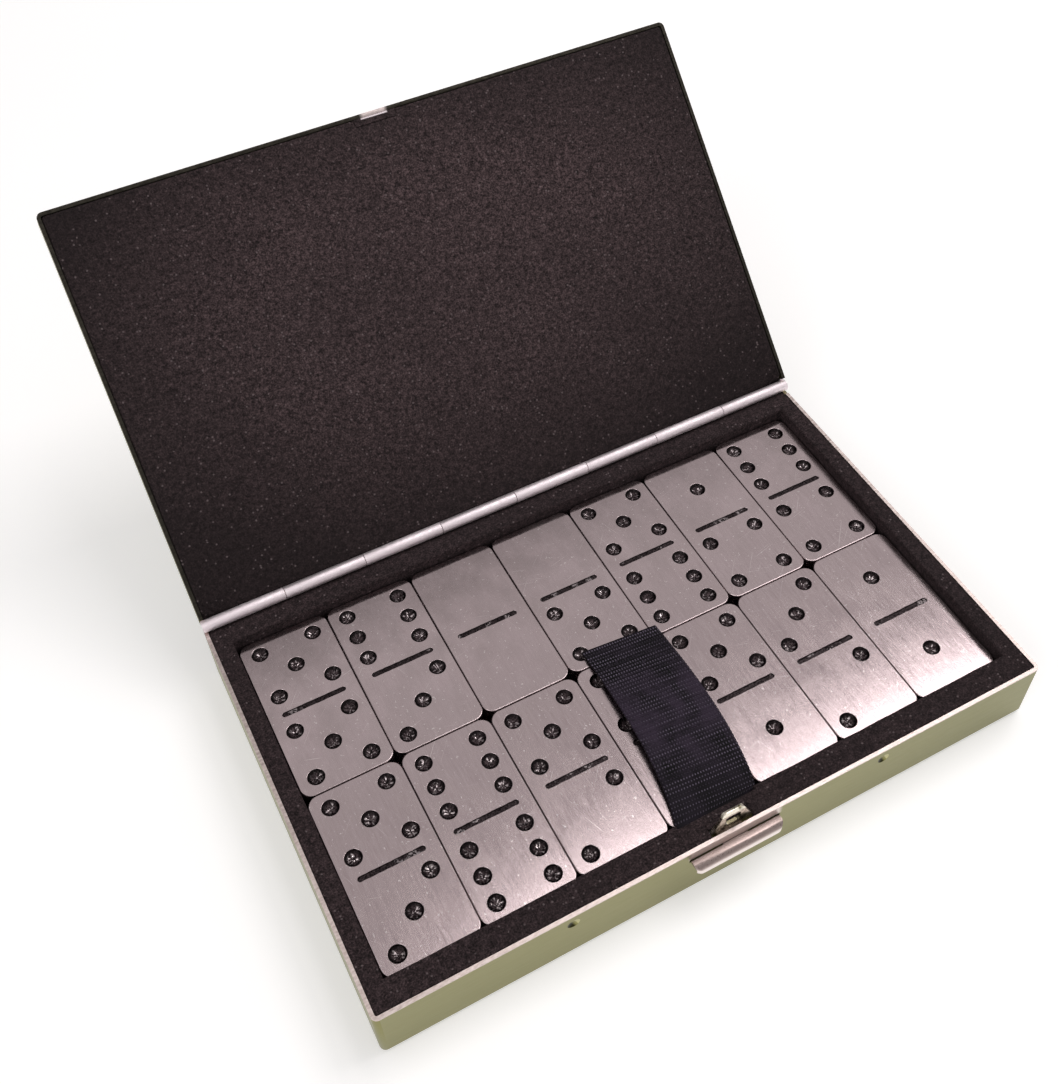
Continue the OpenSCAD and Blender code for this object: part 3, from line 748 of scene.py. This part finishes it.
def foam_floor(material):
    """The pad under the tiles, with the shallow channel that the ribbon lies in."""
    low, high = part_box("floor_pad")
    w, l = (high.x - low.x) / MM, (high.y - low.y) / MM
    bottom, top, back = low.z / MM, high.z / MM, PAD_CHANNEL["back"]
    outer = densify(rounded(w, l, CUT["corner"], 3), 4)
    a, b, y0 = RIBBON_SLOT
    channel = densify([(a, y0), (b, y0), (b, back), (a, back)], 3)
    bm = bmesh.new()
    outs = [ring(bm, line, top - drop) for line, drop in rim(outer, PAD_CHANNEL["edge"])]
    outs.append(ring(bm, outer, bottom))
    mouth, bed = ring(bm, channel, top), ring(bm, channel, top - PAD_CHANNEL["depth"])
    loft(bm, outs)
    skin(bm, mouth, bed)
    cover(bm, [outs[0], mouth])
    cover(bm, [bed])
    cover(bm, [outs[-1]])
    place_foam(piece("foam_floor", bm, material), "base", "floor_pad")


def block(bm, low, high, edge):
    """A foam block between two corners, with its upright and upper edges rounded."""
    cx, cy = (low[0] + high[0]) / 2, (low[1] + high[1]) / 2
    outline = rounded(high[0] - low[0], high[1] - low[1], edge, 3, (cx, cy))
    rings = [ring(bm, line, high[2] - drop) for line, drop in rim(outline, edge * 0.9)]
    close(bm, rings + [ring(bm, outline, low[2])])


def foam_lip(material):
    """The thin lip of foam behind the hook."""
    px, py = POCKET
    slack = LATCH_LIP["slack"]
    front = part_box("latch_plate")[1].y / MM + LATCH_LIP["ahead"]
    low, high = (slack - px, front, LATCH_LIP["bottom"]), (px - slack, py, BASE_RIM - 2 * slack)
    bm = bmesh.new()
    block(bm, low, high, LATCH_LIP["edge"])
    obj = piece("foam_lip", bm, material)
    place_foam(obj, "base")
    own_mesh(obj)


def foam_lid_lip(material):
    """The foam round the catch, in the lid."""
    px, py = LID_SLIT
    wall, side = -INNER[1] / 2, px - CATCH_LIP["slack"]
    low, high = LID_RIM + CATCH_LIP["slack"], LID_RIM + CATCH_LIP["height"]
    ahead, behind = wall + CATCH_LIP["ahead"], wall + CATCH_LIP["behind"]
    half, edge = CATCH_LIP["half"], CATCH_LIP["edge"]
    bm = bmesh.new()
    block(bm, (-side, behind, low), (side, py, high), edge)
    for x0, x1 in ((-side, -half), (half, side)):
        block(bm, (x0, ahead, low), (x1, behind + CATCH_LIP["ahead"], high), edge)
    open_lid(bm)
    obj = piece("foam_lid_lip", bm, material)
    place_foam(obj, "lid")
    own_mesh(obj)


def foam_lid(material):
    """The pad that fills the lid, soft at its edges and notched for the hook."""
    back, edge, bevel, slack = LID_PAD["back"], LID_PAD["edge"], LID_PAD["bevel"], LID_PAD["slack"]
    w, l = INNER[0] - CUT["gap"], INNER[1] - CUT["gap"]
    px, py = LID_SLIT
    slit = [(-px, -l / 2), (-px, py - bevel), (bevel - px, py)]
    slit += [(-x, y) for x, y in reversed(slit)]
    outer = densify(notched(rounded(w, l, CUT["corner"], 3), slit), CUT["step"])
    bm = bmesh.new()
    rings = [ring(bm, line, LID_RIM + drop) for line, drop in clear_of_barrel(list(rim(outer, edge)))]
    close(bm, rings + [ring(bm, outer, back - edge), ring(bm, inset(outer, edge), back)])
    carve_for_barrel(bm, 1)
    low, high = (slack - px, -l / 2, LID_PAD["slit_floor"]), (px - slack, py - slack, back)
    block(bm, low, high, LID_PAD["slit_edge"])
    open_lid(bm)
    place_foam(piece("foam_lid", bm, material), "lid", "lid_foam")


# ---------------------------------------------------------------- ribbon

# Sizes in millimetres: the ribbon, its ribs, its loose end, how high that rises above the tiles, the radius
# of its bends, and how the loose end strays from a straight line
RIBBON = {"width": 21.7, "thick": 0.42, "x": -1.0, "riser": -50.5, "join": TILE_TOP - 1.5, "clear": 0.03}
RIB = {"across": 28, "along": 6, "core": 0.26, "rise": 0.24, "selvedge": 0.93, "flatten": 0.55, "edge": 0.1}
LOOSE = {"fold": -49.25, "length": 53.5, "lead": 0.6, "tail": 1.0, "steps": 40}
RISE = {"shoulder": 0.45, "crest": 0.62, "arch": 2.05}
BENDS = {"under": 0.5, "loose": 0.75}
DRIFT = {"turn": math.radians(-4.8), "over": 2.5, "bow": 1.9, "skew": 0.7, "flare": 0.035, "shift": 0.75}
RELEASE = (-50.1, 1.3)          # where the loose end leaves its slot, and over what length it spreads


def bend(points, radius, steps=6):
    """The corners of an open path of (y, z) rounded off."""
    out = [points[0]]
    for p, q, r in zip(points, points[1:], points[2:]):
        p, q, r = Vector(p), Vector(q), Vector(r)
        a, b = (p - q).normalized() * radius, (r - q).normalized() * radius
        for k in range(steps + 1):
            f = k / steps
            out.append(tuple(q + a * (1 - f) ** 2 + b * f ** 2))
    return out + [points[-1]]


def walk(path, step):
    """Points every step along a path of (y, z), with the distance run."""
    total, out = 0.0, [(path[0], 0.0)]
    for p, q in zip(path, path[1:]):
        d = math.dist(p, q)
        parts = max(1, round(d / step))
        for k in range(1, parts + 1):
            f = k / parts
            out.append(((p[0] + (q[0] - p[0]) * f, p[1] + (q[1] - p[1]) * f), total + d * f))
        total += d
    return out


def quads(bm, a, b):
    """Joins two open rows of as many points."""
    for i in range(len(a) - 1):
        bm.faces.new((a[i], a[i + 1], b[i + 1], b[i]))


def weave_side(bm, stops, side, place, marks):
    """One face of the ribbon, raised along each rib; returns its rows of points."""
    half, rows = RIBBON["width"] / 2, []
    for k, ((y, z), run) in enumerate(stops):
        (y0, z0), (y1, z1) = stops[max(k - 1, 0)][0], stops[min(k + 1, len(stops) - 1)][0]
        out = Vector((-(z1 - z0), y1 - y0)).normalized()
        rib = 0.5 + 0.5 * math.cos(2 * math.pi * run / RIB_PITCH)
        row = []
        for i in range(RIB["across"] + 1):
            u = -1 + 2 * i / RIB["across"]
            raised = RIB["flatten"] if abs(u) > RIB["selvedge"] else 1.0
            lift = side * RIBBON["thick"] * (RIB["core"] + RIB["rise"] * rib * raised)
            edge = RIB["edge"] * (rib - 0.5) if abs(u) == 1 else 0.0
            v = bm.verts.new(place(u * half + edge * u, y + out.x * lift, z + out.y * lift))
            marks[v] = (u * half * MM, run * MM)
            row.append(v)
        if rows:
            quads(bm, rows[-1], row)
        rows.append(row)
    return rows


def weave(name, path, place, material):
    """A strip of ribbed cloth along the path; place puts (across, along, up) into the part's frame."""
    stops = walk(path, RIB_PITCH / RIB["along"])
    bm = bmesh.new()
    layer = bm.loops.layers.uv.new("UVMap")
    marks = {}
    top, under = (weave_side(bm, stops, side, place, marks) for side in (1, -1))
    quads(bm, top[0], under[0])
    quads(bm, top[-1], under[-1])
    for k in range(len(stops) - 1):
        for e in (0, -1):
            bm.faces.new((top[k][e], top[k + 1][e], under[k + 1][e], under[k][e]))
    for face in bm.faces:
        face.smooth = True
        for loop in face.loops:
            loop[layer].uv = marks[loop.vert]
    obj = piece(name, bm, material)
    return obj, stops[-1][1] * MM


def ribbon_under(material):
    """The ribbon's hidden run: along the pad, then up in its slot at the front."""
    low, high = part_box("ribbon_run")
    riser, z = RIBBON["riser"], low.z / MM + RIBBON["thick"] / 2 + RIBBON["clear"]
    path = bend([(high.y / MM, z), (riser, z), (riser, RIBBON["join"])], BENDS["under"])

    def place(x, y, up):
        return ((RIBBON["x"] + x) * MM, y * MM, up * MM)

    obj, length = weave("ribbon_under", path, place, material)
    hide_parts("ribbon_run")
    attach(obj, "base")


def ribbon_loose(material):
    """The ribbon's loose end: out of the slot, over the front tiles and arched along them."""
    riser, start, reach, steps = RIBBON["riser"], LOOSE["fold"], LOOSE["length"], LOOSE["steps"]
    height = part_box("ribbon_flap")[0].z / MM + RIBBON["thick"] / 2
    first, free_length = start + LOOSE["lead"], reach - LOOSE["tail"]
    path = [(riser, RIBBON["join"]), (riser, height + RISE["shoulder"]), (first, height + RISE["crest"])]
    path = bend(path, BENDS["loose"])[:-1]
    for k in range(1, steps + 1):
        f = k / steps
        rise = RISE["crest"] * (1 - f) + 4 * RISE["arch"] * f * (1 - f)
        path.append((first + free_length * f, height + rise))

    def place(x, y, up):
        turned = DRIFT["turn"] * min(1.0, max(0.0, (y - riser) / DRIFT["over"]))
        along = min(1.0, max(0.0, (y - start) / reach))
        free = min(1.0, max(0.0, (y - RELEASE[0]) / RELEASE[1])) * (1 - along)
        dx = x * (1 + DRIFT["flare"] * free) + DRIFT["shift"] * free
        dx += DRIFT["bow"] * math.sin(math.pi * along ** DRIFT["skew"])
        dy = y - start
        out_x = dx * math.cos(turned) - dy * math.sin(turned)
        out_y = dx * math.sin(turned) + dy * math.cos(turned)
        return ((RIBBON["x"] + out_x) * MM, (start + out_y) * MM, up * MM)

    obj, length = weave("ribbon_loose", path, place, material)
    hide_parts("ribbon_flap")
    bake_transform(obj)


# ---------------------------------------------------------------- metal parts

# The leaf spring in millimetres: where its foot ends and where its flat middle begins, from the box's middle
SPRING = {"knee": 40.0, "flat": 7.2, "inset": 0.2, "thick": 0.38, "steps": 24}


def dress(name, material, soften):
    """Gives a CAD node its material, and takes the sharpness off its edges."""
    obj = NODES[name]
    if not obj.material_slots:
        obj.data.materials.append(material)
    for slot in obj.material_slots:
        slot.material = material
    weld = obj.modifiers.new("weld", "WELD")
    weld.merge_threshold = 0.002 * MM
    bevel = obj.modifiers.new("soften", "BEVEL")
    bevel.width = soften * MM
    bevel.segments = 2
    bevel.limit_method = "ANGLE"
    bevel.angle_limit = math.radians(40)
    bevel.use_clamp_overlap = True


def spring_line(foot, y0, y1):
    """The middle line of an arm: flat at its stake, bowed back, and flat behind the hook."""
    knee, flat, steps = SPRING["knee"], SPRING["flat"], SPRING["steps"]
    path = [(foot, y0), (knee, y0)]
    for k in range(1, steps):
        f = k / steps
        bow = f * f * (3 - 2 * f) * 0.35 + f * 0.65
        path.append((knee + (flat - knee) * f, y0 + (y1 - y0) * bow))
    return path + [(flat, y1), (0.0, y1)]


def spring_half(side, material):
    """One arm of the leaf spring, from its stake to the back of the hook."""
    low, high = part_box("latch_spring")
    y0, y1 = low.y / MM + SPRING["inset"], high.y / MM - SPRING["inset"]
    path = spring_line(high.x / MM, y0, y1)
    bm = bmesh.new()
    last = None
    for k, (x, y) in enumerate(path):
        (xa, ya), (xb, yb) = path[max(k - 1, 0)], path[min(k + 1, len(path) - 1)]
        n = Vector((-(yb - ya), xb - xa)).normalized() * (SPRING["thick"] / 2)
        corners = []
        for face, z in ((1, low.z), (1, high.z), (-1, high.z), (-1, low.z)):
            corners.append(bm.verts.new((side * (x + face * n.x) * MM, (y + face * n.y) * MM, z)))
        if last:
            skin(bm, last, corners, smooth=False)
        else:
            bm.faces.new(corners)
        last = corners
    bm.faces.new(last)
    obj = piece("spring_left" if side < 0 else "spring_right", bm, material)
    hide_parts("latch_spring")
    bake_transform(obj)


# ---------------------------------------------------------------- stage

LAMP_TINT = (1.0, 0.965, 0.965)
WINDOW_TINT = (1.0, 0.985, 0.98)
FLOOR_REACH = 4                 # metres from the box to the floor's edges


def stage_floor():
    """A pale matt floor, which the camera and the mirrors see lit up to the backdrop's white."""
    bm = bmesh.new()
    reach, level = FLOOR_REACH, -0.3 * MM
    corners = ((-reach, -reach), (reach, -reach), (reach, reach), (-reach, reach))
    bm.faces.new([bm.verts.new((x, y, level)) for x, y in corners])
    t = Surface("pale_floor")
    mottle = t.noise(t.object, 3)
    color = t.mix(t.span(mottle, 0.3, 0.7), (0.86, 0.86, 0.86), (0.89, 0.89, 0.885))
    path = t.nodes.new("ShaderNodeLightPath")
    seen = t.most(path.outputs["Is Camera Ray"], path.outputs["Is Transmission Ray"])
    seen = t.most(seen, path.outputs["Is Glossy Ray"])
    t.link(t.times(seen, 0.34), t.shader.inputs["Emission Strength"])
    material = t.finish(color, t.span(mottle, 0.3, 0.7, 0.85, 0.95), Emission_Color=(1, 1, 1, 1))
    piece("floor", bm, material)


def lamp(name, place, target, size, power, color):
    """A soft rectangular lamp turned to its target."""
    light = bpy.data.lights.new(name, "AREA")
    light.shape = "RECTANGLE"
    light.size, light.size_y = size
    light.energy = power
    light.color = color
    obj = bpy.data.objects.new(name, light)
    obj.location = place
    obj.rotation_euler = (Vector(target) - Vector(place)).to_track_quat("-Z", "Y").to_euler()
    bpy.context.scene.collection.objects.link(obj)


def lights():
    room()
    lamp("ceiling", (0.64, 0.07, 1.12), (0.64, 0.07, 0.0), (0.50, 0.62), 4.5, LAMP_TINT)
    lamp("ceiling_left", (0.22, 0.11, 1.12), (0.22, 0.11, 0.0), (0.20, 0.54), 1.35, LAMP_TINT)
    lamp("window", (-1.1, -0.5, 1.0), (0, 0, 0), (0.8, 0.8), 4.5, WINDOW_TINT)


def room():
    """A pale room, brightest above the box's back half, with a dim band high on the wall behind it.

    Its light changes with tilt: how far back a direction leans, a little skewed, to each metre of height.
    """
    world = bpy.data.worlds.new("room")
    world.use_nodes = True
    t = Nodes(world.node_tree)
    coords = t.nodes.new("ShaderNodeTexCoord")
    x, y, z = t.axes(coords.outputs["Generated"])
    tilt = t.math("DIVIDE", t.math("MULTIPLY_ADD", x, -0.08, y), z)
    above = t.span(tilt, 0.50, 0.60, 0.50, 0.64, smooth=True)
    below = t.span(tilt, 0.662, 0.745, 1.0, 0.08, smooth=True)
    band = t.most(below, t.span(tilt, 1.0, 1.25, 0.0, 0.55, smooth=True))
    back = t.nodes["Background"]
    back.inputs["Color"].default_value = (*LAMP_TINT, 1)
    t.link(t.times(above, band), back.inputs["Strength"])
    bpy.context.scene.world = world


def camera():
    """The photograph's viewpoint, as fitted to the box."""
    data = bpy.data.cameras.new("camera")
    data.sensor_width = 36.0
    data.lens = 44.389
    data.shift_x, data.shift_y = -0.01775, -0.08468
    data.clip_start, data.clip_end = 0.01, 20
    obj = bpy.data.objects.new("camera", data)
    obj.location = (-0.10276, -0.16541, 0.31758)
    obj.rotation_euler = (0.726676, 0.014856, -0.490009)
    bpy.context.scene.collection.objects.link(obj)
    bpy.context.scene.camera = obj


# ---------------------------------------------------------------- the scene

def build_tiles():
    materials = (tile_steel(), pip_paint())
    for node in NODES:
        if node.startswith("tile_"):
            build_tile(node, materials)


def build_foam():
    in_base = foam("foam", (0.088, 0.058, 0.062))
    # the lid's foam is painted lighter than the base's, with painted shade away from a point near its middle:
    # a painted pool of light there
    in_lid = foam("lid_foam", (0.182, 0.122, 0.127), (0.004, 0.105, 0.069))
    foam_surround(in_base)
    foam_floor(in_base)
    foam_lip(in_base)
    foam_lid_lip(in_lid)
    foam_lid(in_lid)


def build_ribbon():
    cloth = grosgrain()
    ribbon_under(cloth)
    ribbon_loose(cloth)


def build_metal():
    base = case_metal("base_metal", base_rim, base_barrel)
    lid = case_metal("lid_metal", lid_rim, lid_barrel)
    plate, strip = nickel(), spring_steel()
    dress("base_shell", base, 0.12)
    dress("lid_shell", lid, 0.12)
    dress("hinge_pin", plate, 0.1)
    dress("latch_plate", plate, 0.24)
    dress("lid_catch", base, 0.1)
    for side in (-1, 1):
        spring_half(side, strip)


bpy.context.scene.view_settings.view_transform = "Standard"
camera()
lights()
stage_floor()
build_tiles()
build_foam()
build_ribbon()
build_metal()

bpy.context.view_layer.update()
bpy.context.view_layer.update()
